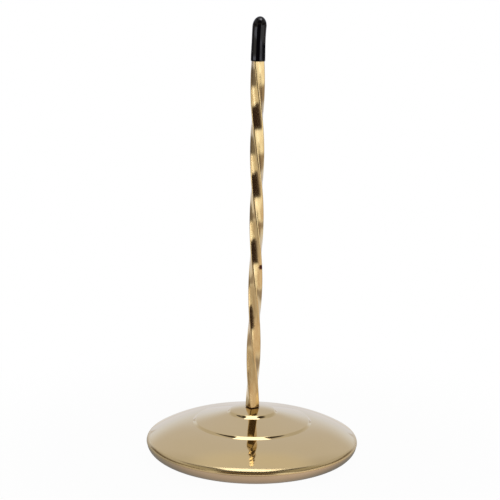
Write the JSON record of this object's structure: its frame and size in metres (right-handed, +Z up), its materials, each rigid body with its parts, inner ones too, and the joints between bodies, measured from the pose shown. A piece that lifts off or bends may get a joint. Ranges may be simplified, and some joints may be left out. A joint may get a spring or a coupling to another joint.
{
  "type": "bill spike",
  "caption": "Desk spike for paper slips: a twisted square brass bar with a capped sharp point, standing on a weighted, tiered round brass base with a felt underside.",
  "frame": {"origin": "on the table, under the middle of the base", "axes": "+Z up along the spike, +X to the right and -Y to the front as in the picture"},
  "size_m": [0.08, 0.08, 0.1661],
  "materials": {
    "polished_brass": "polished, with faint turning lines",
    "satin_brass": "satin",
    "bar_brass": "polished, drawn bar with small tarnish specks",
    "black_vinyl": "satin soft vinyl",
    "cast_weight": "rough casting, black paint",
    "zinc_steel": "zinc plated",
    "spring_steel": "dark spring steel",
    "green_felt": "pressed felt"
  },
  "bodies": {
    "stand": {"base_shell": "polished_brass", "base_pan": "satin_brass", "ballast_weight": "cast_weight", "flat_washer": "zinc_steel", "spring_washer": "spring_steel", "hex_nut": "zinc_steel", "felt_pad": "green_felt", "spike": "bar_brass"},
    "cap": {"tip_cap": "black_vinyl"}
  },
  "joints": [
    {"name": "cap_pull", "type": "slide", "parent": "stand", "child": "cap", "axis": [0, 0, 1], "range_m": [0, 0.03]}
  ]
}
